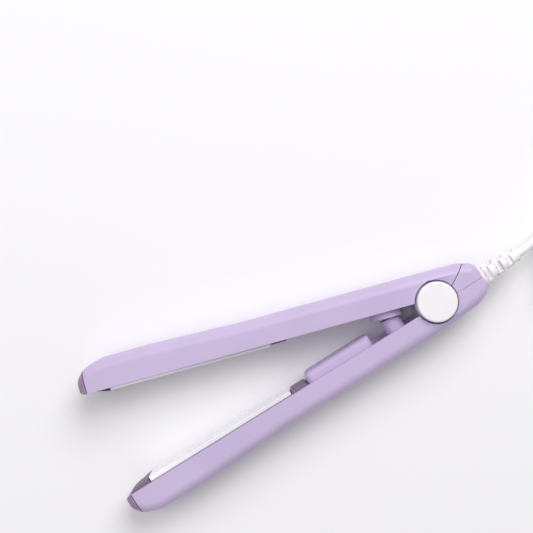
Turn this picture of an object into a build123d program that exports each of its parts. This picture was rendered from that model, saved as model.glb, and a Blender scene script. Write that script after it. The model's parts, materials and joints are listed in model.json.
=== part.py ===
from build123d import *
from math import cos, pi, radians, sin, sqrt, tan
import os

os.makedirs("parts", exist_ok=True)

# A small travel flat iron lying on its side. The hinge axis is Z, the table is Z = 0, the tips
# point to -X and the cord leaves to +X. Both arms are drawn closed, with their plates meeting
# at Y = 0, and the moving arm is then turned open about the hinge.

# ---- arms --------------------------------------------------------------------------------
ARM_WIDTH = 18.0          # across both side faces
CAP_PROUD = 2.4           # how far each hinge cap stands above a side face
WALL = 1.6                # housing wall
BACK_ROUND = 4.0          # rounding of the long back edges
OPEN_ANGLE = 16.4         # arms spread at rest
PLATE_LEAN = 0.5          # the plates meet this much before the arms would be parallel
FIXED_EDGE = 1.2          # closed gap from the middle plane to the fixed housing edge
MOVING_EDGE = 1.5         # and to the moving housing edge
TIP_X = -140.6            # foremost point of both tip caps
TIP_CAP = 3.3             # length of a tip cap outside its housing
TIP_PLUG = 3.0            # how far a tip cap reaches into its housing
TIP_ROUND = 2.4           # inner corner of a tip cap
TIP_SEAM = 0.3            # joint line between a tip cap and its housing
BUTT_X = 20.3             # rear end of the fixed housing
FIXED_BACK = 10.9         # back of the fixed arm from the middle plane, along the handle
FIXED_HEAD = 12.4         # and behind the plate
MOVING_BACK = 11.7        # the same for the moving arm
MOVING_HEAD = 12.9
SEAM_GAP = 0.12           # joint line between fixed neighbours

# ---- hinge -------------------------------------------------------------------------------
CAP_R = 7.75
CAP_SOFT = 0.8            # rounding of a cap's rim
CAP_FACE = 1.5            # thickness of a cap's face
RECESS_R = 8.45           # round recess in both housings around a cap
RECESS_DEPTH = 2.8        # side face down to the lug
LUG_R = 8.0
LUG_THICK = 2.0
BARREL_R = 6.0
SLEEVE_R = 3.0
SLEEVE_BORE = 1.5
WASHER_R = 5.3
WASHER_THICK = 0.5
SCREW_HEAD_R = 2.6
SCREW_HEAD_H = 1.6
RUNNING_FIT = 0.05        # lug bore over the sleeve
SIDE_PLAY = 0.3           # between turning faces
TAIL_GAP = 0.3            # moving arm's tail to the tail cover at the open stop

# ---- plates and heaters ------------------------------------------------------------------
PLATE_L = 63.0
PLATE_W = 13.5
PLATE_T = 2.2
PLATE_MID_X = -97.0
PLATE_HALF_GAP = 0.15     # each plate face from the middle plane when closed
PLATE_SIDE_PLAY = 0.1
PLATE_END_PLAY = 0.5
PLATE_ROUND = 0.4
CARRIER_DEPTH = 8.8
CARRIER_LEDGE = 1.1
HEATER_L = PLATE_L - 19.0  # leaves room for the fuse and the leads
HEATER_W = 9.0
HEATER_T = 3.0
PAD_T = 0.6
LEAF_T = 0.3
LEAF_L = 38.0
LEAF_W = 6.0
FUSE_R = 1.6
FUSE_L = 5.0

# ---- inner covers, post, socket and spring -----------------------------------------------
COVER_FLOOR = 3.0         # floor of the fixed cover below the middle plane
COVER_T = 1.2
BLOCK_X0 = -57.8
BLOCK_X1 = -29.0
BLOCK_TOP = 2.9           # grip block above the middle plane
BLOCK_SIDE = 0.7          # block side inside the housing wall
BLOCK_NOSE = 2.8          # rounding of its upright front corners
BLOCK_FRONT = 2.2         # and of its front top edge
POCKET_FLOOR = 3.8        # pocket in the moving cover that takes the block
POST_X = -18.0
POST_R = 3.9
POST_BORE = 3.3
POST_TOP = 3.6
SOCKET_X = -18.9
SOCKET_R = 6.6
SOCKET_BORE = 5.2
SOCKET_MOUTH = -1.4
SOCKET_ROOF = 7.0
SPRING_R = 2.1
SPRING_WIRE = 0.3
SPRING_TURNS = 7
SPRING_SEAT = 0.75        # room left for the tilted spring ends
SCREW_R = 0.9
COVER_SCREW_HEAD_R = 1.7
COVER_SCREW_X = (-52.0, -35.0)
BOSS_R = 2.1
LEAD_R = 0.7

# ---- cord --------------------------------------------------------------------------------
CORD_R = 1.6
CORD_LENGTH = 1200.0
CORD_Y = -1.7
RELIEF_R0 = 4.2           # strain relief at the butt
RELIEF_R1 = 2.6           # and at its free end
RELIEF_END_X = 37.3
RELIEF_COLLAR = 1.6
RELIEF_NECK_R = 3.4
RELIEF_CORE = 2.2
RELIEF_SLOT = 1.7
COIL_X = 67.0
COIL_Y = -16.5
COIL_LANES = 3            # turns side by side
COIL_LAYERS = 4           # turns on top of each other
LANE_PITCH = 3.3
COIL_MEAN_R = 16.3
TIE_T = 0.5
TIE_W = 4.0
PLUG_W = 35.3
PLUG_T = 13.7
PLUG_L = 32.0
PLUG_X = 101.0             # where its body starts, behind the boot
PLUG_Y = 3.2
PLUG_NECK_W = 13.0
PIN_R = 2.0
PIN_L = 19.0
PIN_SPACING = 18.6
PIN_STEM_R = 1.5
PIN_STEM_L = 8.0          # inside the plug
PIN_NECK = 0.3            # stem showing between the plug's face and a pin
PIN_TIP_ROUND = 1.2

SIDE_LO = CAP_PROUD
SIDE_HI = CAP_PROUD + ARM_WIDTH
MID_Z = CAP_PROUD + ARM_WIDTH / 2
TOTAL_Z = ARM_WIDTH + 2 * CAP_PROUD
IN_LO = SIDE_LO + WALL
IN_HI = SIDE_HI - WALL
LUG_LO = SIDE_LO + RECESS_DEPTH
LUG_HI = LUG_LO + LUG_THICK
BARREL_LO = LUG_HI + SIDE_PLAY
CAP_X = TIP_X + TIP_CAP
PLATE_X0 = PLATE_MID_X - PLATE_L / 2
PLATE_X1 = PLATE_MID_X + PLATE_L / 2


def block(x0, x1, y0, y1, z0, z1):
    """Box between two corners."""
    size = (x1 - x0, y1 - y0, z1 - z0)
    return Pos((x0 + x1) / 2, (y0 + y1) / 2, (z0 + z1) / 2) * Box(*size)


def rod_z(x, y, z0, z1, r):
    return Pos(x, y, (z0 + z1) / 2) * Cylinder(r, z1 - z0)


def rod_y(x, z, y0, y1, r, r_top=None):
    """Round bar along Y from y0 to y1; r_top makes it a cone."""
    turned = Pos(x, (y0 + y1) / 2, z) * Rot(-90, 0, 0)
    if r_top is None:
        return turned * Cylinder(r, y1 - y0)
    return turned * Cone(r, r_top, y1 - y0)


def rod_x(y, z, x0, x1, r, r_end=None):
    turned = Pos((x0 + x1) / 2, y, z) * Rot(0, 90, 0)
    if r_end is None:
        return turned * Cylinder(r, x1 - x0)
    return turned * Cone(r, r_end, x1 - x0)


def both_sides(shape):
    """The shape and its mirror image in the arms' middle height."""
    return shape + mirror(shape, about=Plane.XY.offset(MID_Z))


def slab(points, z0, z1):
    """Straight-sided outline drawn in XY and extruded in Z."""
    return Pos(0, 0, z0) * extrude(make_face(Polyline(*points, close=True)), z1 - z0)


def arm_body(points, turns, inset, y_open):
    """Rounded arm block from its back outline; inset shrinks it for the hollow inside."""
    first = (points[0][0], y_open)
    last = (points[-1][0], y_open)
    outline = FilletPolyline(first, *points, last, radius=turns)
    face = make_face(outline + Line(last, first))
    if inset:
        face = offset(face, -inset, kind=Kind.ARC)
    solid = Pos(0, 0, SIDE_LO + inset) * extrude(face, ARM_WIDTH - 2 * inset)
    low = solid.edges().group_by(Axis.Z)[0]
    high = solid.edges().group_by(Axis.Z)[-1]
    open_y = y_open - inset if y_open > points[1][1] else y_open + inset
    rims = [e for e in low + high if abs(e.center().Y - open_y) > 0.05]
    return fillet(rims, BACK_ROUND - inset)


def head_outline(handle, head, tail):
    """Back outline from the tip to the tail, as distances from the middle plane."""
    nose = [(TIP_X, head - 6.0), (TIP_X + 3.7, head - 2.0), (TIP_X + 10.1, head)]
    return nose + [(-112.0, head), (-74.0, handle), (-2.0, handle)] + tail


def down(points):
    return [(x, -v) for x, v in points]


# ---- fixed housing -----------------------------------------------------------------------
fixed_tail = [(14.2, FIXED_BACK - 1.3), (BUTT_X, 6.9)]
fixed_points = down(head_outline(FIXED_BACK, FIXED_HEAD, fixed_tail))
nose_turns = [5, 7, 12]
fixed_turns = nose_turns + [60, 60, 40, 9, 4.4]
fixed_outer = arm_body(fixed_points, fixed_turns, 0, 9.0)
fixed_hollow = arm_body(fixed_points, fixed_turns, WALL, 14.0)

below_edge = block(-150, 30, -20, -FIXED_EDGE, 0, TOTAL_Z)
recess = both_sides(rod_z(0, 0, -1, LUG_LO - 0.1, RECESS_R))
lug_room = both_sides(rod_z(0, 0, LUG_LO - 0.2, LUG_HI + SIDE_PLAY / 2, LUG_R + 0.35))
relief_hole = rod_x(CORD_Y, MID_Z, BUTT_X - 3, BUTT_X + 3, RELIEF_NECK_R)
flange_room = rod_x(CORD_Y, MID_Z, BUTT_X - WALL - 1.6, BUTT_X - WALL, RELIEF_R0 + 0.3)

shell = (fixed_outer & below_edge) - fixed_hollow
shell = shell & block(CAP_X, 40, -20, 20, 0, TOTAL_Z)

barrel_z = (BARREL_LO, TOTAL_Z - BARREL_LO)
barrel = rod_z(0, 0, *barrel_z, BARREL_R)
web = block(-4.5, 4.5, -FIXED_BACK + 0.8, -3, MID_Z - 2, MID_Z + 2)
CLAMP_X0 = 11.6
CLAMP_X1 = 15.6
CLAMP_Z = 5.0
CLAMP_TOP = 2.0
pedestal = block(CLAMP_X0, CLAMP_X1, -9, CORD_Y, MID_Z - CLAMP_Z, MID_Z + CLAMP_Z)
pedestal = pedestal & (fixed_outer & block(0, BUTT_X - WALL / 2, -20, 9, 0, TOTAL_Z))
bosses = Part()
for x in COVER_SCREW_X:
    bosses += rod_y(x, MID_Z, -FIXED_BACK + 0.8, -COVER_FLOOR - COVER_T, BOSS_R)
fixed_housing = shell - recess - lug_room
fixed_housing = fixed_housing + (barrel + web) + pedestal
fixed_housing += bosses
cord_bore = rod_x(CORD_Y, MID_Z, CLAMP_X0 - 1, BUTT_X + 1, CORD_R)
clamp_screw_z = (MID_Z - CLAMP_Z + 1.6, MID_Z + CLAMP_Z - 1.6)
clamp_screws_holes = Part()
for z in clamp_screw_z:
    clamp_screws_holes += rod_y((CLAMP_X0 + CLAMP_X1) / 2, z, -5, 2, SCREW_R)
cover_screw_holes = Part()
for x in COVER_SCREW_X:
    cover_screw_holes += rod_y(x, MID_Z, -8, 6, SCREW_R)
fixed_housing = fixed_housing - rod_z(0, 0, 0, TOTAL_Z, SLEEVE_R) - relief_hole - cord_bore
fixed_housing -= flange_room
fixed_housing = fixed_housing - clamp_screws_holes - cover_screw_holes

# ---- tail cover --------------------------------------------------------------------------
# It closes the butt above the split line. Its slanted front face is the arm's open stop.
turn_back = -radians(OPEN_ANGLE)


def opened(x, y):
    """A point of the moving arm's closed frame, where it lies at rest."""
    return (x * cos(turn_back) - y * sin(turn_back), x * sin(turn_back) + y * cos(turn_back))


TAIL_CORNER = (13.3, 11.5)
TAIL_FOOT = (6.6, 4.0)
seam_top = opened(*TAIL_CORNER)
seam_foot = opened(*TAIL_FOOT)
slope = (seam_top[1] - seam_foot[1]) / (seam_top[0] - seam_foot[0])
seam_drop = TAIL_GAP * sqrt(1 + slope**2)


def seam_y(x, below=0.0):
    return seam_foot[1] + slope * (x - seam_foot[0]) - seam_drop - below


def tail_outline(top):
    """Outline of the cover in XY down to the split line."""
    peak = (seam_top[0] + 0.25, seam_y(seam_top[0] + 0.25))
    rear = (BUTT_X, peak[1] - 2.4)
    return [(6.0, -FIXED_EDGE), (6.0, seam_y(6.0)), peak, rear, (BUTT_X, top)]


cover_path = FilletPolyline(*tail_outline(-FIXED_EDGE)[2:], radius=4.4)
cover_start = tail_outline(-FIXED_EDGE)[:2]
cover_face = make_face(cover_path + Polyline(cover_path @ 1, *cover_start, cover_path @ 0))
cover_solid = Pos(0, 0, SIDE_LO) * extrude(cover_face, ARM_WIDTH)
cover_rims = [
    e
    for e in cover_solid.edges().group_by(Axis.Z)[0] + cover_solid.edges().group_by(Axis.Z)[-1]
    if e.center().X > seam_top[0] + 0.3 and e.center().Y > -FIXED_EDGE + 0.05
]
tail_solid = fillet(cover_rims, BACK_ROUND)
cover_in = offset(cover_face, -WALL, kind=Kind.INTERSECTION)
cover_in = Pos(0, 0, IN_LO) * extrude(cover_in, ARM_WIDTH - 2 * WALL)
cover_in += block(12, BUTT_X - WALL, -FIXED_EDGE - 1, 1.2, IN_LO, IN_HI)
tail_cover = tail_solid - cover_in - block(-20, 40, -9, -FIXED_EDGE + SEAM_GAP, 0, TOTAL_Z)
tail_cover = tail_cover - rod_z(0, 0, -1, TOTAL_Z + 1, RECESS_R) - relief_hole
clamp_room = block(
    CLAMP_X0 - 0.3, CLAMP_X1 + 0.3, -3, CLAMP_TOP + 0.15, MID_Z - CLAMP_Z - 0.2, MID_Z + CLAMP_Z + 0.2
)
tail_cover = tail_cover - clamp_room - flange_room - cord_bore
tail_cover = tail_cover & fixed_outer

# ---- hinge hardware ----------------------------------------------------------------------
cap = rod_z(0, 0, 0, LUG_LO - 0.4, CAP_R)
cap = fillet(cap.edges().group_by(Axis.Z)[0], CAP_SOFT)
cap -= rod_z(0, 0, CAP_FACE, LUG_LO, WASHER_R)
hinge_cap_lower = cap
hinge_cap_upper = mirror(cap, about=Plane.XY.offset(MID_Z))
washer_hi = LUG_LO - SIDE_PLAY
washer_lo = washer_hi - WASHER_THICK
washer = rod_z(0, 0, washer_lo, washer_hi, WASHER_R) - rod_z(0, 0, 0, 9, SLEEVE_BORE)
hinge_washers = both_sides(washer)
hinge_sleeve = rod_z(0, 0, washer_hi, TOTAL_Z - washer_hi, SLEEVE_R)
hinge_sleeve -= rod_z(0, 0, 0, TOTAL_Z, SLEEVE_BORE)
screw = rod_z(0, 0, washer_lo - SCREW_HEAD_H, washer_lo, SCREW_HEAD_R)
screw = fillet(screw.edges().group_by(Axis.Z)[0], 0.5)
screw += rod_z(0, 0, washer_lo, washer_lo + 6.5, SLEEVE_BORE)
cross = block(-1.5, 1.5, -0.35, 0.35, 0, washer_lo - SCREW_HEAD_H + 0.9)
screw = screw - cross - Rot(0, 0, 90) * cross
hinge_screws = both_sides(screw)

# ---- moving housing, drawn closed --------------------------------------------------------
moving_top = head_outline(MOVING_BACK, MOVING_HEAD, [TAIL_CORNER])


def moving_body(inset, low):
    """Block of the moving arm; low is how far down its open side reaches."""
    back = FilletPolyline((TIP_X, low), *moving_top, radius=nose_turns + [60, 60, 90])
    rest = Polyline(TAIL_CORNER, TAIL_FOOT, (TAIL_FOOT[0], low), (TIP_X, low))
    face = make_face(back + rest)
    if inset:
        face = offset(face, -inset, kind=Kind.ARC)
    solid = Pos(0, 0, SIDE_LO + inset) * extrude(face, ARM_WIDTH - 2 * inset)
    ends = solid.edges().group_by(Axis.Z)
    rims = [
        e
        for e in ends[0] + ends[-1]
        if abs(e.center().Y - low - inset) > 0.05
        and not (e.center().X > 4 and e.center().Y < TAIL_CORNER[1] - 1.7)
    ]
    return fillet(rims, BACK_ROUND - inset)


moving_outer = moving_body(0, -6.0)
moving_hollow = moving_body(WALL, -14.0)
above_edge = block(-150, 30, MOVING_EDGE, 20, 0, TOTAL_Z)
moving_shell = (moving_outer & above_edge) - moving_hollow
moving_shell = moving_shell & block(CAP_X, 40, -20, 20, 0, TOTAL_Z)
lug_web = (moving_outer & above_edge) & block(-9.7, 30, 0, 20, IN_LO - 0.3, LUG_HI)
lug = both_sides(lug_web + rod_z(0, 0, LUG_LO, LUG_HI, LUG_R))
moving_bosses = Part()
for x in COVER_SCREW_X:
    moving_bosses += rod_y(x, MID_Z, POCKET_FLOOR + COVER_T, 11.0, BOSS_R)
moving_housing = moving_shell + lug + moving_bosses
moving_housing -= both_sides(rod_z(0, 0, -1, LUG_LO, RECESS_R))
moving_housing -= rod_z(0, 0, 0, TOTAL_Z, SLEEVE_R + RUNNING_FIT)
moving_screw_holes = Part()
for x in COVER_SCREW_X:
    moving_screw_holes += rod_y(x, MID_Z, 0, 9.3, SCREW_R)
moving_housing -= moving_screw_holes
moving_housing -= rod_z(0, 0, LUG_HI, TOTAL_Z - LUG_HI, BARREL_R + SIDE_PLAY)


# ---- things both arms have; v is the distance from the middle plane ------------------------
def tip_cap(outer, hollow, edge):
    cap_part = outer & block(TIP_X - 1, CAP_X - TIP_SEAM, edge, 20, 0, TOTAL_Z)
    corner = block(TIP_X - 1, TIP_X + TIP_ROUND, edge - 1, edge + TIP_ROUND, 0, TOTAL_Z)
    cap_part -= corner - rod_z(TIP_X + TIP_ROUND, edge + TIP_ROUND, -1, TOTAL_Z + 1, TIP_ROUND)
    plug = hollow & block(CAP_X - 1, CAP_X + TIP_PLUG, edge + 2.2, 20, 0, TOTAL_Z)
    return cap_part + plug


def plate_top():
    plate = block(
        PLATE_X0, PLATE_X1, PLATE_HALF_GAP, PLATE_HALF_GAP + PLATE_T,
        MID_Z - PLATE_W / 2, MID_Z + PLATE_W / 2,
    )
    return fillet(plate.edges().filter_by(Axis.X).group_by(Axis.Y)[0], PLATE_ROUND)


def carrier(hollow, edge, lean=0.0):
    """Heat-proof frame that seats the plate and closes the arm around it."""
    leaning = Rot(0, 0, lean)
    seat_v = PLATE_HALF_GAP + PLATE_T
    body = block(CAP_X + TIP_PLUG, BLOCK_X0 - 0.3, edge - 0.2, CARRIER_DEPTH, 0, TOTAL_Z) & hollow
    nose = [(CAP_X + 0.2, edge + 0.5), (CAP_X + 0.2, edge + 2.0), (PLATE_X0 - PLATE_END_PLAY, edge + 2.0)]
    nose += [(PLATE_X0 - PLATE_END_PLAY, PLATE_HALF_GAP + 0.15)]
    body += leaning * slab(nose, IN_LO + 0.5, IN_HI - 0.5)
    rear = [(PLATE_X1 + PLATE_END_PLAY, edge + 1.2), (PLATE_X1 + PLATE_END_PLAY, edge - 0.75)]
    rear += [(BLOCK_X0 - 1.5, edge - 0.75), (BLOCK_X0 - 0.5, edge), (BLOCK_X0 - 0.5, edge + 1.2)]
    body += leaning * slab(rear, IN_LO + 0.5, IN_HI - 0.5)
    half = PLATE_W / 2 + PLATE_SIDE_PLAY
    body -= leaning * block(
        PLATE_X0 - PLATE_END_PLAY, PLATE_X1 + PLATE_END_PLAY, -3, seat_v, MID_Z - half, MID_Z + half
    )
    room = PLATE_W / 2 - CARRIER_LEDGE
    body -= leaning * block(
        PLATE_X0 + 2, PLATE_X1 - 2, 0, CARRIER_DEPTH - 1.0, MID_Z - room, MID_Z + room
    )
    return body


def heater():
    v = PLATE_HALF_GAP + PLATE_T
    return block(
        PLATE_MID_X - HEATER_L / 2, PLATE_MID_X + HEATER_L / 2, v, v + HEATER_T,
        MID_Z - HEATER_W / 2, MID_Z + HEATER_W / 2,
    )


PAD_V = PLATE_HALF_GAP + PLATE_T + HEATER_T


def pad():
    return block(
        PLATE_MID_X - HEATER_L / 2 - 1, PLATE_MID_X + HEATER_L / 2 + 1, PAD_V, PAD_V + PAD_T,
        MID_Z - HEATER_W / 2 - 0.5, MID_Z + HEATER_W / 2 + 0.5,
    )


def leaf():
    """Bowed steel strip between the pad and the carrier floor."""
    v = PAD_V + PAD_T
    rise = CARRIER_DEPTH - 1.0 - v - LEAF_T
    half = LEAF_L / 2
    bow = ThreePointArc(
        (PLATE_MID_X - half, v), (PLATE_MID_X, v + rise), (PLATE_MID_X + half, v)
    )
    back = ThreePointArc(
        (PLATE_MID_X + half, v + LEAF_T), (PLATE_MID_X, v + rise + LEAF_T),
        (PLATE_MID_X - half, v + LEAF_T),
    )
    sides = Line(bow @ 1, back @ 0) + Line(back @ 1, bow @ 0)
    return Pos(0, 0, MID_Z - LEAF_W / 2) * extrude(make_face(bow + back + sides), LEAF_W)


def flipped(shape):
    """The fixed arm's copy of a shape drawn for the moving arm."""
    return mirror(shape, about=Plane.XZ)


def leaned(shape):
    """The fixed arm's plate stack, tilted so that both plates meet flat."""
    return Rot(0, 0, -PLATE_LEAN) * flipped(shape)


moving_tip_cap = tip_cap(moving_outer, moving_hollow, MOVING_EDGE)
fixed_tip_cap = flipped(tip_cap(flipped(fixed_outer), flipped(fixed_hollow), FIXED_EDGE))
moving_carrier = carrier(moving_hollow, MOVING_EDGE)
fixed_carrier = flipped(carrier(flipped(fixed_hollow), FIXED_EDGE, PLATE_LEAN))

# ---- inner covers ------------------------------------------------------------------------
COVER_X1 = -10.0
cover_lo = BLOCK_X0 - 0.2
fixed_floor = block(cover_lo, COVER_X1, -COVER_FLOOR - COVER_T, -COVER_FLOOR, 0, TOTAL_Z)
fixed_cover = fixed_floor & fixed_hollow
grip = block(
    BLOCK_X0, BLOCK_X1, -COVER_FLOOR - 0.5, BLOCK_TOP, IN_LO + BLOCK_SIDE, IN_HI - BLOCK_SIDE
)
grip = fillet(grip.edges().filter_by(Axis.Z).group_by(Axis.Y)[-1].group_by(Axis.X)[-1], 1.0)
grip = fillet(grip.edges().filter_by(Axis.Y).group_by(Axis.X)[0], BLOCK_NOSE)
grip_rim = grip.edges().group_by(Axis.Y)[-1]
grip = fillet([e for e in grip_rim if e.center().X < BLOCK_X0 + BLOCK_NOSE / 2], BLOCK_FRONT)
fixed_cover = fixed_cover + grip
head_seat = Part()
for x in COVER_SCREW_X:
    head_seat += rod_y(x, MID_Z, BLOCK_TOP - 4.0, BLOCK_TOP + 1, COVER_SCREW_HEAD_R + 0.2)
fixed_cover = fixed_cover - cover_screw_holes - head_seat
fixed_cover -= rod_z(0, 0, 0, TOTAL_Z, RECESS_R + 0.2)

moving_floor = block(cover_lo, COVER_X1, POCKET_FLOOR, POCKET_FLOOR + COVER_T, 0, TOTAL_Z)
rim = 0.45
moving_rims = both_sides(block(cover_lo, COVER_X1, MOVING_EDGE, POCKET_FLOOR + 0.3, IN_LO, IN_LO + rim))
moving_cover = (moving_floor + moving_rims) & moving_hollow
moving_cover -= rod_y(SOCKET_X, MID_Z, 0, 11, SOCKET_R)
moving_cover -= moving_screw_holes
moving_cover -= rod_z(0, 0, 0, TOTAL_Z, RECESS_R + 0.2)


def cover_screw(x, v):
    """Small self-tapping screw, head toward the middle plane at -v."""
    body = rod_y(x, MID_Z, -1.0, 0, COVER_SCREW_HEAD_R) + rod_y(x, MID_Z, 0, 4.2, SCREW_R)
    body -= block(x - 1.2, x + 1.2, -1.1, -0.5, MID_Z - 0.3, MID_Z + 0.3)
    return Pos(0, v, 0) * body


moving_screws = Part()
fixed_screws = Part()
for x in COVER_SCREW_X:
    moving_screws += cover_screw(x, POCKET_FLOOR)
    fixed_screws += flipped(cover_screw(x, 4.0 - BLOCK_TOP))

# ---- post, socket, spring ----------------------------------------------------------------
post = rod_y(POST_X, MID_Z, -COVER_FLOOR, POST_TOP, POST_R)
post = fillet(post.edges().group_by(Axis.Y)[-1], 0.25)
post += rod_y(POST_X, MID_Z, -COVER_FLOOR, -COVER_FLOOR + 1.0, 6.0)
spring_post = post - rod_y(POST_X, MID_Z, -COVER_FLOOR + 1.0, POST_TOP + 1, POST_BORE)
socket = rod_y(SOCKET_X, MID_Z, SOCKET_MOUTH, SOCKET_ROOF + 1.0, SOCKET_R)
socket = fillet(socket.edges().group_by(Axis.Y)[0], 0.4)
spring_socket = socket - rod_y(SOCKET_X, MID_Z, SOCKET_MOUTH - 1, SOCKET_ROOF, SOCKET_BORE)

seat = (POST_X, -COVER_FLOOR + 1.0)
roof = opened(SOCKET_X, SOCKET_ROOF)
lean_x = roof[0] - seat[0]
lean_y = roof[1] - seat[1]
spring_len = sqrt(lean_x**2 + lean_y**2)
axis = (lean_x / spring_len, lean_y / spring_len, 0)
start = (seat[0] + axis[0] * SPRING_SEAT, seat[1] + axis[1] * SPRING_SEAT, MID_Z)
free_len = spring_len - 2 * SPRING_SEAT
coil_path = Helix(free_len / SPRING_TURNS, free_len, SPRING_R)
section = Plane(coil_path @ 0, z_dir=coil_path % 0) * Circle(SPRING_WIRE)
return_spring = Plane(start, z_dir=axis) * sweep(section, path=coil_path, is_frenet=True)


# ---- leads inside the arms ---------------------------------------------------------------
def lead(points, z, turn):
    path = FilletPolyline(*[(x, y, z) for x, y in points], radius=turn)
    ring = Plane(path @ 0, z_dir=path % 0) * Circle(LEAD_R)
    return sweep(ring, path=path)


HEATER_END = PLATE_MID_X + HEATER_L / 2
fixed_leads = Part()
moving_leads = Part()
for z in (MID_Z - 3.1, MID_Z + 3.1):
    run = [(7.5, -7.5), (-60.0, -7.2), (-68.0, -3.4), (HEATER_END, -3.4)]
    fixed_leads += lead(run, z, 5.0)
    run = [(-10.0, 9.15), (-60.0, 9.15), (-67.5, 4.2), (HEATER_END, 4.2)]
    moving_leads += lead(run, z, 5.0)
tunnel_z = (MID_Z - 4.2, MID_Z + 4.2)
fixed_carrier -= block(PLATE_X1 - 3, BLOCK_X0 + 1, -8.6, -2.3, *tunnel_z)
moving_carrier -= block(PLATE_X1 - 3, BLOCK_X0 + 1, 3.2, 10.2, *tunnel_z)

fuse_v = PLATE_HALF_GAP + PLATE_T + FUSE_R
thermal_fuse = leaned(rod_x(fuse_v, MID_Z, HEATER_END + 1.5, HEATER_END + 1.5 + FUSE_L, FUSE_R))

# ---- strain relief and clamp -------------------------------------------------------------
relief = rod_x(CORD_Y, MID_Z, BUTT_X + RELIEF_COLLAR, RELIEF_END_X, RELIEF_R0 - 0.3, RELIEF_R1)
slots = 6
step = (RELIEF_END_X - BUTT_X - RELIEF_COLLAR - 1.2) / slots
for i in range(slots):
    x = BUTT_X + RELIEF_COLLAR + 0.9 + i * step
    for side in (-1, 1):
        if i % 2 == 0:
            near = (MID_Z + side * (RELIEF_CORE + 3), MID_Z + side * RELIEF_CORE)
            cut = block(x, x + RELIEF_SLOT, CORD_Y - 6, CORD_Y + 6, min(near), max(near))
        else:
            near = (CORD_Y + side * (RELIEF_CORE + 3), CORD_Y + side * RELIEF_CORE)
            cut = block(x, x + RELIEF_SLOT, min(near), max(near), MID_Z - 6, MID_Z + 6)
        relief -= cut
collar = rod_x(CORD_Y, MID_Z, BUTT_X, BUTT_X + RELIEF_COLLAR, RELIEF_R0)
collar = fillet(collar.edges().group_by(Axis.X)[-1], 0.4)
neck = rod_x(CORD_Y, MID_Z, BUTT_X - WALL - 1.4, BUTT_X, RELIEF_NECK_R)
flange = rod_x(CORD_Y, MID_Z, BUTT_X - WALL - 1.4, BUTT_X - WALL - 0.05, RELIEF_R0 + 0.3)
strain_relief = relief + collar + neck + flange - rod_x(CORD_Y, MID_Z, 9, 50, CORD_R)

cord_clamp = block(CLAMP_X0, CLAMP_X1, CORD_Y, CLAMP_TOP, MID_Z - CLAMP_Z, MID_Z + CLAMP_Z)
front = [(CLAMP_X0 - 1, CLAMP_TOP + 1), (CLAMP_X0 - 1, 0.6), (CLAMP_X0 + 1.6, CLAMP_TOP + 1)]
cord_clamp -= slab(front, 0, TOTAL_Z)
cord_clamp = cord_clamp - rod_x(CORD_Y, MID_Z, 9, 50, CORD_R) - clamp_screws_holes
clamp_screws = Part()
for z in clamp_screw_z:
    x = (CLAMP_X0 + CLAMP_X1) / 2 + 0.2
    cord_clamp -= rod_y((CLAMP_X0 + CLAMP_X1) / 2, z, CLAMP_TOP - 1.0, CLAMP_TOP + 1, 1.45)
    head = rod_y((CLAMP_X0 + CLAMP_X1) / 2, z, CLAMP_TOP - 1.0, CLAMP_TOP - 0.1, 1.4)
    clamp_screws += head + rod_y((CLAMP_X0 + CLAMP_X1) / 2, z, -5, CLAMP_TOP - 1.0, SCREW_R)


# ---- power cord, coil, tie and plug --------------------------------------------------------
def cord_run(name, points):
    """Round tube along straight runs joined by tangent arcs."""
    runs = [Vector(*b) - Vector(*a) for a, b in zip(points, points[1:])]
    radii = []
    for a, b in zip(runs, runs[1:]):
        turn = radians(a.get_angle(b))
        radii.append(0.45 * min(a.length, b.length) / tan(turn / 2))
    path = FilletPolyline(*points, radius=radii)
    ring = Plane(path @ 0, z_dir=path % 0) * Circle(CORD_R)
    tube = sweep(ring, path=path)
    ideal = pi * CORD_R**2 * path.length
    print(name, "radii", [round(r, 1) for r in radii], "length", round(path.length, 1))
    print(name, "volume", round(tube.volume, 1), "section x length", round(ideal, 1))
    return tube, path.length


COIL_LO = TIE_T
LAY_Z = COIL_LO + CORD_R
COIL_HALF = (COIL_LANES - 1) * LANE_PITCH / 2 + CORD_R
COIL_HI = COIL_LO + (COIL_LAYERS - 1) * LANE_PITCH + 2 * CORD_R
OUTER_LANE = COIL_MEAN_R + (COIL_LANES - 1) * LANE_PITCH / 2
TOP_Z = COIL_HI - CORD_R
ENTRY_Y = COIL_Y + OUTER_LANE
to_coil = [
    (34.0, CORD_Y, MID_Z),
    (42.0, CORD_Y, MID_Z),
    (51.0, CORD_Y + 1.8, MID_Z - 2.2),
    (60.5, ENTRY_Y - 0.2, LAY_Z + 1.5),
    (COIL_X + 2, ENTRY_Y, LAY_Z),
]
inside_run = rod_x(CORD_Y, MID_Z, CLAMP_X0, to_coil[0][0], CORD_R)
outside, outside_len = cord_run("iron to coil", to_coil)
to_plug = [
    (COIL_X + 1, ENTRY_Y, TOP_Z),
    (COIL_X + 13, ENTRY_Y - 0.3, TOP_Z - 0.4),
    (COIL_X + 26, PLUG_Y - 0.1, PLUG_T / 2 + 0.1),
    (PLUG_X + 2, PLUG_Y, PLUG_T / 2),
]
tail_run, tail_len = cord_run("coil to plug", to_plug)
turns = COIL_LANES * COIL_LAYERS - 1
coil_len = turns * 2 * pi * COIL_MEAN_R
print("length in all", round(coil_len + outside_len + tail_len, 1), "of", CORD_LENGTH)

lanes = Pos(COIL_MEAN_R, 0) * RectangleRounded(
    2 * COIL_HALF, COIL_HI - COIL_LO, CORD_R
)
coil_section = Plane.XZ * lanes
cord_coil = Pos(COIL_X, COIL_Y, (COIL_LO + COIL_HI) / 2) * revolve(coil_section, Axis.Z)

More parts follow.
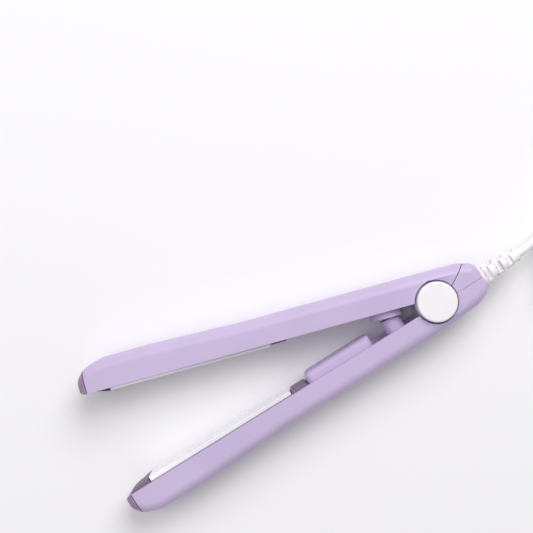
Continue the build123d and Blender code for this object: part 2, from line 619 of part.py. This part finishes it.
tie = block(-COIL_HALF - TIE_T, COIL_HALF + TIE_T, -TIE_W / 2, TIE_W / 2, 0, COIL_HI + TIE_T)
tie = fillet(tie.edges().filter_by(Axis.Y), 1.2)
cord_tie = Pos(COIL_X - COIL_MEAN_R, COIL_Y, 0) * tie - cord_coil

half_w = PLUG_W / 2
neck_w = PLUG_NECK_W / 2
plug_face = PLUG_X + PLUG_L
plug_side = [(PLUG_X, neck_w), (PLUG_X + 17, half_w), (plug_face, half_w)]
plug_outline = [(x, PLUG_Y + v) for x, v in plug_side]
plug_outline += [(x, PLUG_Y - v) for x, v in reversed(plug_side)]
plug = extrude(make_face(FilletPolyline(*plug_outline, radius=3.0, close=True)), PLUG_T)
plug = fillet(plug.edges().group_by(Axis.Z)[0] + plug.edges().group_by(Axis.Z)[-1], 2.0)
boot = rod_x(PLUG_Y, PLUG_T / 2, PLUG_X - 9, PLUG_X + 2, 2.7, 4.2)
plug_body = plug + boot - rod_x(PLUG_Y, PLUG_T / 2, PLUG_X - 12, PLUG_X - 2, CORD_R)
plug_pins = Part()
for side in (-1, 1):
    y = PLUG_Y + side * PIN_SPACING / 2
    plug_body -= rod_x(y, PLUG_T / 2, plug_face - PIN_STEM_L, plug_face + 1, PIN_STEM_R)
    pin = rod_x(y, PLUG_T / 2, plug_face + PIN_NECK, plug_face + PIN_L, PIN_R)
    pin = fillet(pin.edges().group_by(Axis.X)[-1], PIN_TIP_ROUND)
    plug_pins += pin + rod_x(y, PLUG_T / 2, plug_face - PIN_STEM_L, plug_face + PIN_NECK, PIN_STEM_R)
power_cord = Compound(children=[inside_run + outside, tail_run - plug_body])


# ---- all nodes ---------------------------------------------------------------------------
fixed = {
    "fixed_housing": fixed_housing,
    "fixed_tip_cap": fixed_tip_cap,
    "fixed_inner_cover": fixed_cover,
    "fixed_cover_screws": fixed_screws,
    "tail_cover": tail_cover,
    "fixed_plate_carrier": fixed_carrier,
    "fixed_heating_plate": leaned(plate_top()),
    "fixed_heater": leaned(heater()),
    "fixed_heater_pad": leaned(pad()),
    "fixed_leaf_spring": leaned(leaf()),
    "thermal_fuse": thermal_fuse,
    "fixed_leads": fixed_leads,
    "spring_post": spring_post,
    "return_spring": return_spring,
    "hinge_sleeve": hinge_sleeve,
    "hinge_washers": hinge_washers,
    "hinge_screws": hinge_screws,
    "hinge_cap_upper": hinge_cap_upper,
    "hinge_cap_lower": hinge_cap_lower,
    "strain_relief": strain_relief,
    "cord_clamp": cord_clamp,
    "cord_clamp_screws": clamp_screws,
    "power_cord": power_cord,
    "cord_coil": cord_coil,
    "cord_tie": cord_tie,
    "plug_body": plug_body,
    "plug_pins": plug_pins,
}
moving = {
    "moving_housing": moving_housing,
    "moving_tip_cap": moving_tip_cap,
    "moving_inner_cover": moving_cover,
    "moving_cover_screws": moving_screws,
    "moving_plate_carrier": moving_carrier,
    "moving_heating_plate": plate_top(),
    "moving_heater": heater(),
    "moving_heater_pad": pad(),
    "moving_leaf_spring": leaf(),
    "moving_leads": moving_leads,
    "spring_socket": spring_socket,
}
nodes = dict(fixed)
for name, shape in moving.items():
    nodes[name] = Rot(0, 0, -OPEN_ANGLE) * shape
for name, shape in nodes.items():
    solids = shape.solids()
    export_step(Compound(children=list(solids)), f"parts/{name}.step")
    box = Compound(children=list(solids)).bounding_box()
    corners = [round(v, 1) for v in (*box.min, *box.max)]
    print(name, len(solids), "solids", round(sum(s.volume for s in solids), 1), corners)
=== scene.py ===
import json
from math import cos, radians, sin, sqrt

import bpy
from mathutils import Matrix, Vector


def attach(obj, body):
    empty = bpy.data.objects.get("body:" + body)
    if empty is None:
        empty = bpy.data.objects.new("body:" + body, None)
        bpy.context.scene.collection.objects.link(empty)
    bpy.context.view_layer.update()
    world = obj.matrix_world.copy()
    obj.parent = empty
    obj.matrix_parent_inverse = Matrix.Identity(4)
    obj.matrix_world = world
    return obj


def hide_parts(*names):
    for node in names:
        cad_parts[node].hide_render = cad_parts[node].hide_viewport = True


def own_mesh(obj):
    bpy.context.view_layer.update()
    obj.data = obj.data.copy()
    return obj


bl_info = {
    "name": "Travel flat iron",
    "version": (1, 0, 0),
    "blender": (4, 5, 0),
    "location": "3D View > Sidebar > Flat iron",
    "description": "Finishes the shells, plates, hinge caps, cord and studio of a small flat iron",
    "category": "Object",
}

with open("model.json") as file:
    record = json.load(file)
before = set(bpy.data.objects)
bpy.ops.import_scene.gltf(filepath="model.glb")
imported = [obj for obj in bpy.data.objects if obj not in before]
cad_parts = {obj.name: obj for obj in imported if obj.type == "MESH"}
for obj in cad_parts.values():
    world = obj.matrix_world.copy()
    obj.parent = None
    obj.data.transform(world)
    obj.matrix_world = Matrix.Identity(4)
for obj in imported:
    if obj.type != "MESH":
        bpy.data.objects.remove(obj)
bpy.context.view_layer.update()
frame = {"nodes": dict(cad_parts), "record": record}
NODES = frame["nodes"]
BODY_OF = {n: b for b, names in frame["record"]["behaviour"]["bodies"].items() for n in names}
SLOT_OF = {s["node"]: s["material_slot"] for s in frame["record"]["subparts"]}
MM = 0.001


# ---- sizes and colours -------------------------------------------------------------------
def size(name, text, value):
    return bpy.props.FloatProperty(name=name, description=text, default=value, unit="LENGTH")


def shade(name, text, value):
    return bpy.props.FloatVectorProperty(
        name=name, description=text, default=value, size=3, min=0, max=1, subtype="COLOR"
    )


class FlatIronSizes(bpy.types.PropertyGroup):
    cord_diameter: size("Cord diameter", "Outside diameter of the mains cord", 3.2 * MM)
    coil_radius: size("Coil radius", "Mean radius of the put-away coil", 16.3 * MM)
    lane_pitch: size("Lane pitch", "Distance between neighbouring turns", 3.3 * MM)
    camera_height: size("Camera height", "Camera above the table", 386.4 * MM)


class FlatIronColours(bpy.types.PropertyGroup):
    lilac: shade("Shell", "Moulded shells of both arms", (0.575, 0.478, 0.705))
    inner: shade("Inside covers", "Grip block, covers, post and socket", (0.560, 0.455, 0.690))
    tip: shade("Tips", "Heat-proof tip caps", (0.330, 0.240, 0.370))
    # carrier colour is partly the frames' own dark resin and partly painted shade, darkened to the
    # shaded tones beside the plates
    carrier: shade("Carriers", "Frames around the plates", (0.210, 0.150, 0.230))
    plate: shade("Plates", "Coating of the heating plates", (0.900, 0.905, 0.940))
    white: shade("White parts", "Hinge caps, strain relief, cord and plug", (0.925, 0.905, 0.935))


def sizes():
    return bpy.context.scene.flat_iron_sizes


def colours():
    return bpy.context.scene.flat_iron_colours


# ---- materials ---------------------------------------------------------------------------
def new_material(name, colour, roughness, metallic=0.0):
    """A principled material with its nodes ready for grain to be added."""
    mat = bpy.data.materials.new(name)
    mat.use_nodes = True
    shader = mat.node_tree.nodes["Principled BSDF"]
    shader.inputs["Base Color"].default_value = (*colour, 1)
    shader.inputs["Roughness"].default_value = roughness
    shader.inputs["Metallic"].default_value = metallic
    return mat, shader


def noise(mat, scale, detail=2.0, stretch=(1, 1, 1)):
    """Noise over Object coordinates; scale is repeats per metre."""
    tree = mat.node_tree
    coords = tree.nodes.new("ShaderNodeTexCoord")
    mapping = tree.nodes.new("ShaderNodeMapping")
    mapping.inputs["Scale"].default_value = stretch
    field = tree.nodes.new("ShaderNodeTexNoise")
    field.inputs["Scale"].default_value = scale
    field.inputs["Detail"].default_value = detail
    tree.links.new(coords.outputs["Object"], mapping.inputs["Vector"])
    tree.links.new(mapping.outputs["Vector"], field.inputs["Vector"])
    return field.outputs["Fac"]


def tint(mat, shader, colour, field, low, high):
    """Colour that drifts between two tones of itself."""
    ramp = mat.node_tree.nodes.new("ShaderNodeValToRGB")
    ramp.color_ramp.elements[0].position = 0.35
    ramp.color_ramp.elements[1].position = 0.65
    ramp.color_ramp.elements[0].color = (*[c * k for c, k in zip(colour, low)], 1)
    ramp.color_ramp.elements[1].color = (*[min(1, c * k) for c, k in zip(colour, high)], 1)
    mat.node_tree.links.new(field, ramp.inputs["Fac"])
    mat.node_tree.links.new(ramp.outputs["Color"], shader.inputs["Base Color"])


def spread(mat, shader, field, low, high):
    """Roughness that varies a little over the surface."""
    band = mat.node_tree.nodes.new("ShaderNodeMapRange")
    band.inputs["To Min"].default_value = low
    band.inputs["To Max"].default_value = high
    mat.node_tree.links.new(field, band.inputs["Value"])
    mat.node_tree.links.new(band.outputs["Result"], shader.inputs["Roughness"])


def grain(mat, shader, field, strength, height):
    """Fine relief; height is in metres."""
    bump = mat.node_tree.nodes.new("ShaderNodeBump")
    bump.inputs["Strength"].default_value = strength
    bump.inputs["Distance"].default_value = height
    mat.node_tree.links.new(field, bump.inputs["Height"])
    mat.node_tree.links.new(bump.outputs["Normal"], shader.inputs["Normal"])


def moulded_plastic(name, colour, roughness, pitch=2600, relief=0.00003, strength=0.35):
    """Moulded plastic: a very fine grain and a faint drift of tone."""
    mat, shader = new_material(name, colour, roughness)
    tint(mat, shader, colour, noise(mat, 45), (0.975, 0.965, 0.98), (1.02, 1.02, 1.01))
    spread(mat, shader, noise(mat, 160, 3), roughness - 0.04, roughness + 0.05)
    grain(mat, shader, noise(mat, pitch, 3), strength, relief)
    return mat


def ceramic_coating(name, colour):
    """Smooth sprayed coating with faint polishing lines along the plate."""
    mat, shader = new_material(name, colour, 0.2, 0.15)
    tint(mat, shader, colour, noise(mat, 60), (0.97, 0.97, 0.98), (1.02, 1.02, 1.01))
    spread(mat, shader, noise(mat, 500, 2, (0.12, 1, 1)), 0.16, 0.26)
    grain(mat, shader, noise(mat, 2400, 2, (0.06, 1, 1)), 0.12, 0.00001)
    shader.inputs["Coat Weight"].default_value = 0.4
    shader.inputs["Coat Roughness"].default_value = 0.12
    return mat


def bright_metal(name, colour, roughness, stretch=(1, 1, 0.08)):
    """Plated or drawn metal with fine lines."""
    mat, shader = new_material(name, colour, roughness, 1.0)
    spread(mat, shader, noise(mat, 1500, 3, stretch), roughness - 0.08, roughness + 0.1)
    grain(mat, shader, noise(mat, 3800, 2, stretch), 0.18, 0.00001)
    return mat


def speckled_sheet(name, colour, dark):
    """Pressed insulating sheet with flakes."""
    mat, shader = new_material(name, colour, 0.55)
    tint(mat, shader, colour, noise(mat, 900, 4), dark, (1.05, 1.04, 1.0))
    grain(mat, shader, noise(mat, 1400, 3), 0.3, 0.00003)
    return mat


MATERIALS = {}


def finish_of(slot):
    """The material for a slot of the record, made once."""
    if slot in MATERIALS:
        return MATERIALS[slot]
    c = colours()
    white = tuple(c.white)
    makers = {
        "lilac_shell": lambda: moulded_plastic("lilac_shell", tuple(c.lilac), 0.42),
        "lilac_inner": lambda: moulded_plastic("lilac_inner", tuple(c.inner), 0.5),
        "tip_plastic": lambda: moulded_plastic("tip_plastic", tuple(c.tip), 0.48),
        # carrier tone holds painted shade as well as the frames' own dark colour
        "carrier_plastic": lambda: moulded_plastic("carrier_plastic", tuple(c.carrier), 0.55, 1900),
        "coated_plate": lambda: ceramic_coating("coated_plate", tuple(c.plate)),
        "white_gloss": lambda: moulded_plastic("white_gloss", white, 0.3, 2200, 0.00001, 0.2),
        "white_gloss_plug": lambda: moulded_plastic("white_gloss_plug", white, 0.42, 2000),
        "white_rubber": lambda: moulded_plastic("white_rubber", white, 0.55, 1700, 0.00004),
        "white_cord": lambda: moulded_plastic("white_cord", white, 0.5, 1500, 0.00003),
        "lead_sleeve": lambda: moulded_plastic("lead_sleeve", (0.83, 0.82, 0.79), 0.5),
        "steel": lambda: bright_metal("steel", (0.60, 0.60, 0.62), 0.3),
        "spring_steel": lambda: bright_metal("spring_steel", (0.50, 0.50, 0.53), 0.28),
        "nickel_brass": lambda: bright_metal("nickel_brass", (0.72, 0.70, 0.66), 0.22, (1, 0.08, 1)),
        "heater_foil": lambda: speckled_sheet("heater_foil", (0.70, 0.42, 0.10), (0.9, 0.85, 0.8)),
        "mica": lambda: speckled_sheet("mica", (0.62, 0.54, 0.40), (0.8, 0.78, 0.74)),
    }
    MATERIALS[slot] = makers[slot]()
    return MATERIALS[slot]


# ---- helpers -----------------------------------------------------------------------------
def deselect():
    if bpy.context.object and bpy.context.object.mode != "OBJECT":
        bpy.ops.object.mode_set(mode="OBJECT")
    bpy.ops.object.select_all(action="DESELECT")


def pick(obj):
    deselect()
    bpy.context.view_layer.objects.active = obj
    obj.select_set(True)


def dress(obj, slot):
    """Gives an object the one material of a record slot."""
    obj.data.materials.clear()
    obj.data.materials.append(finish_of(slot))


def skin(node, angle=32):
    """A merged, smooth-shaded copy of a CAD node that stands for it."""
    source = NODES[node]
    pick(source)
    bpy.ops.object.duplicate()
    copy = bpy.context.object
    copy.name = copy.data.name = node + "_skin"
    bpy.ops.object.mode_set(mode="EDIT")
    bpy.ops.mesh.select_all(action="SELECT")
    bpy.ops.mesh.remove_doubles(threshold=0.000002)
    bpy.ops.mesh.dissolve_limited(angle_limit=radians(0.05))
    bpy.ops.object.mode_set(mode="OBJECT")
    bpy.ops.object.shade_smooth_by_angle(angle=radians(angle))
    even = copy.modifiers.new("even", "WEIGHTED_NORMAL")
    even.keep_sharp = True
    bpy.ops.object.modifier_apply(modifier="even")
    hold(copy, BODY_OF[node], SLOT_OF[node], node)
    return copy


def hold(obj, body, slot, *nodes):
    """Dresses a finished piece, seats it on its body and hides the nodes it stands for."""
    dress(obj, slot)
    world = obj.matrix_world.copy()
    obj.parent = None
    obj.matrix_world = world
    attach(obj, body)
    if nodes:
        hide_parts(*nodes)


class PieceMaker:
    """What every piece operator shares."""

    bl_options = {"REGISTER"}

    @classmethod
    def poll(cls, context):
        return context.scene is not None


# ---- camera and light --------------------------------------------------------------------
LENS = 65.1               # focal length, millimetres on a sensor this wide:
SENSOR = 36
EYE_X = -47.9             # the camera's place over the table, millimetres
EYE_Y = 45.5
EYE_TURN = -31.8          # degrees about the vertical
NEAR_CLIP = 0.01
TABLE_SIZE = 4
TABLE_DROP = 0.00002      # keeps the table just under what rests on it
TABLE_TONE = (0.93, 0.93, 0.935)
TABLE_ROUGHNESS = 0.8
SKY_TONE = (1, 0.985, 1, 1)
SKY_STRENGTH = 0.34
LAMP_TARGET = (-0.05, 0.01, 0)
LAMPS = (                 # name, place, width in metres, power in watts, colour
    ("key", (0.62, 0.55, 0.95), 0.85, 10.8, (1, 0.985, 0.99)),
    ("fill", (-0.5, 0.35, 1.0), 1.0, 4.2, (0.98, 0.97, 1)),
)


class FLATIRON_OT_camera(PieceMaker, bpy.types.Operator):
    """Camera straight above the iron, turned along the fixed arm"""

    bl_idname = "flat_iron.camera"
    bl_label = "Camera"

    def execute(self, context):
        view = bpy.data.cameras.new("above")
        view.lens = LENS
        view.sensor_width = SENSOR
        view.clip_start = NEAR_CLIP
        eye = bpy.data.objects.new("above", view)
        context.collection.objects.link(eye)
        eye.location = (EYE_X * MM, EYE_Y * MM, sizes().camera_height)
        eye.rotation_euler = (0, 0, radians(EYE_TURN))
        context.scene.camera = eye
        return {"FINISHED"}


class FLATIRON_OT_stage(PieceMaker, bpy.types.Operator):
    """Pale table top and soft studio light"""

    bl_idname = "flat_iron.stage"
    bl_label = "Table and light"

    def execute(self, context):
        deselect()
        bpy.ops.mesh.primitive_plane_add(size=TABLE_SIZE, location=(0, 0, -TABLE_DROP))
        table = context.object
        table.name = "table_top"
        mat, shader = new_material("pale_table", TABLE_TONE, TABLE_ROUGHNESS)
        tint(mat, shader, TABLE_TONE, noise(mat, 3), (0.995, 0.995, 0.995), (1, 1, 1))
        table.data.materials.append(mat)
        world = context.scene.world or bpy.data.worlds.new("studio")
        context.scene.world = world
        world.use_nodes = True
        sky = world.node_tree.nodes["Background"]
        sky.inputs["Color"].default_value = SKY_TONE
        sky.inputs["Strength"].default_value = SKY_STRENGTH
        context.scene.view_settings.view_transform = "Standard"
        for name, place, width, power, colour in LAMPS:
            light = bpy.data.lights.new(name, "AREA")
            light.size = width
            light.energy = power
            light.color = colour
            lamp = bpy.data.objects.new(name, light)
            lamp.location = place
            aim = Vector(LAMP_TARGET) - Vector(place)
            lamp.rotation_euler = aim.to_track_quat("-Z", "Y").to_euler()
            context.collection.objects.link(lamp)
        return {"FINISHED"}


# ---- cord --------------------------------------------------------------------------------
COIL_X = 67.0             # the coil's centre, millimetres
COIL_Y = -16.5
COIL_LO = 0.5             # its clearance over the table
LANES = 3                 # turns side by side
LAYERS = 4                # turns on top of each other
STEPS_A_TURN = 16         # control points for each turn
SPLINE_SHRINK = 0.981     # how far the spline cuts inside those points
CORD_Y = -1.7             # the cord's line through the relief
MID_Z = 11.4              # the arms' middle height


def coil_turn(turn, pitch, outer, inner, low):
    """Point of the coil after so many turns: layers of flat spirals, each climbing to the next."""
    layer = min(int(turn / LANES), LAYERS - 1)
    along = turn - layer * LANES
    across = min(along, LANES - 1) * pitch
    radius = outer - across if layer % 2 == 0 else inner + across
    height = low + layer * pitch
    if along > LANES - 1 and layer < LAYERS - 1:
        climb = along - (LANES - 1)
        height += pitch * sqrt(max(0.0, 1 - (1 - climb) ** 2))
    swing = radians(90 - 360 * turn)
    return Vector((COIL_X + radius * cos(swing), COIL_Y + radius * sin(swing), height))


def cord_route():
    """Control points of the cord, in millimetres: out of the iron, round the coil, to the plug."""
    pitch = sizes().lane_pitch / MM
    mean = sizes().coil_radius / MM
    thick = sizes().cord_diameter / MM
    low = COIL_LO + thick / 2
    outer = mean + pitch
    inner = mean - pitch
    entry = COIL_Y + outer
    top = low + (LAYERS - 1) * pitch
    route = [
        Vector((24.0, CORD_Y, MID_Z)),
        Vector((34.0, CORD_Y, MID_Z)),
        Vector((42.0, CORD_Y, MID_Z)),
        Vector((51.0, CORD_Y + 1.8, MID_Z - 2.2)),
        Vector((60.5, entry - 0.2, low + 1.5)),
    ]
    wide = outer / SPLINE_SHRINK
    narrow = inner / SPLINE_SHRINK
    for i in range((LANES * LAYERS - 1) * STEPS_A_TURN + 1):
        route.append(coil_turn(i / STEPS_A_TURN, pitch, wide, narrow, low))
    route += [
        Vector((COIL_X + 13, entry - 0.3, top - 0.4)),
        Vector((COIL_X + 26, 3.1, 6.95)),
        Vector((98.5, 3.2, 6.85)),
    ]
    return route


class FLATIRON_OT_cord(PieceMaker, bpy.types.Operator):
    """Mains cord from the strain relief through its coil to the plug"""

    bl_idname = "flat_iron.cord"
    bl_label = "Mains cord"

    def execute(self, context):
        route = cord_route()
        line = bpy.data.curves.new("mains_cord", "CURVE")
        line.dimensions = "3D"
        line.bevel_depth = sizes().cord_diameter / 2
        line.bevel_resolution = 5
        line.resolution_u = 5
        line.use_fill_caps = True
        spline = line.splines.new("NURBS")
        spline.points.add(len(route) - 1)
        for point, place in zip(spline.points, route):
            point.co = (*(place * MM), 1)
        spline.order_u = 3
        spline.use_endpoint_u = True
        cord = bpy.data.objects.new("mains_cord", line)
        context.collection.objects.link(cord)
        dress(cord, "white_cord")
        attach(cord, "fixed_arm")
        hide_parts("power_cord", "cord_coil")
        return {"FINISHED"}


# ---- shells and fittings -----------------------------------------------------------------
SHELLS = ("fixed_housing", "moving_housing", "tail_cover", "fixed_tip_cap", "moving_tip_cap")
INSIDE = ("fixed_inner_cover", "moving_inner_cover", "spring_post", "spring_socket")


class FLATIRON_OT_shells(PieceMaker, bpy.types.Operator):
    """Housings, tip caps and tail cover"""

    bl_idname = "flat_iron.shells"
    bl_label = "Arm shells"

    def execute(self, context):
        for node in SHELLS:
            skin(node)
        return {"FINISHED"}


class FLATIRON_OT_inside(PieceMaker, bpy.types.Operator):
    """Inner covers, spring post, spring socket and the return spring between them"""

    bl_idname = "flat_iron.inside"
    bl_label = "Covers, post and socket"

    def execute(self, context):
        for node in INSIDE:
            skin(node)
        spring = skin("return_spring")
        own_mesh(spring)
        return {"FINISHED"}


class FLATIRON_OT_plates(PieceMaker, bpy.types.Operator):
    """Heating plates and their carriers"""

    bl_idname = "flat_iron.plates"
    bl_label = "Plates and carriers"

    def execute(self, context):
        for arm in ("fixed", "moving"):
            skin(arm + "_heating_plate")
            skin(arm + "_plate_carrier")
        return {"FINISHED"}


class FLATIRON_OT_hinge(PieceMaker, bpy.types.Operator):
    """White hinge caps and the strain relief"""

    bl_idname = "flat_iron.hinge"
    bl_label = "Hinge caps and strain relief"

    def execute(self, context):
        for node in ("hinge_cap_upper", "hinge_cap_lower", "strain_relief"):
            skin(node)
        return {"FINISHED"}


class FLATIRON_OT_rest(PieceMaker, bpy.types.Operator):
    """Finishes on every CAD part that is kept as it is"""

    bl_idname = "flat_iron.rest"
    bl_label = "Other parts"

    def execute(self, context):
        for name, node in NODES.items():
            dress(node, SLOT_OF[name])
        return {"FINISHED"}


class FLATIRON_PT_panel(bpy.types.Panel):
    """Flat iron pieces in the sidebar"""

    bl_idname = "FLATIRON_PT_panel"
    bl_label = "Flat iron"
    bl_space_type = "VIEW_3D"
    bl_region_type = "UI"
    bl_category = "Flat iron"

    def draw(self, context):
        layout = self.layout
        for group in (context.scene.flat_iron_sizes, context.scene.flat_iron_colours):
            for key in group.bl_rna.properties.keys():
                if key not in ("rna_type", "name"):
                    layout.prop(group, key)
        for step in STEPS:
            layout.operator(step.bl_idname)


STEPS = (
    FLATIRON_OT_camera,
    FLATIRON_OT_cord,
    FLATIRON_OT_rest,
    FLATIRON_OT_shells,
    FLATIRON_OT_inside,
    FLATIRON_OT_plates,
    FLATIRON_OT_hinge,
    FLATIRON_OT_stage,
)
CLASSES = (FlatIronSizes, FlatIronColours, *STEPS, FLATIRON_PT_panel)


def register():
    for cls in CLASSES:
        bpy.utils.register_class(cls)
    bpy.types.Scene.flat_iron_sizes = bpy.props.PointerProperty(type=FlatIronSizes)
    bpy.types.Scene.flat_iron_colours = bpy.props.PointerProperty(type=FlatIronColours)


def unregister():
    del bpy.types.Scene.flat_iron_colours
    del bpy.types.Scene.flat_iron_sizes
    for cls in reversed(CLASSES):
        bpy.utils.unregister_class(cls)


def main():
    register()
    bpy.ops.flat_iron.camera()
    bpy.ops.flat_iron.cord()
    bpy.ops.flat_iron.rest()
    bpy.ops.flat_iron.shells()
    bpy.ops.flat_iron.inside()
    bpy.ops.flat_iron.plates()
    bpy.ops.flat_iron.hinge()
    bpy.ops.flat_iron.stage()
    deselect()


if __name__ == "__main__":
    main()
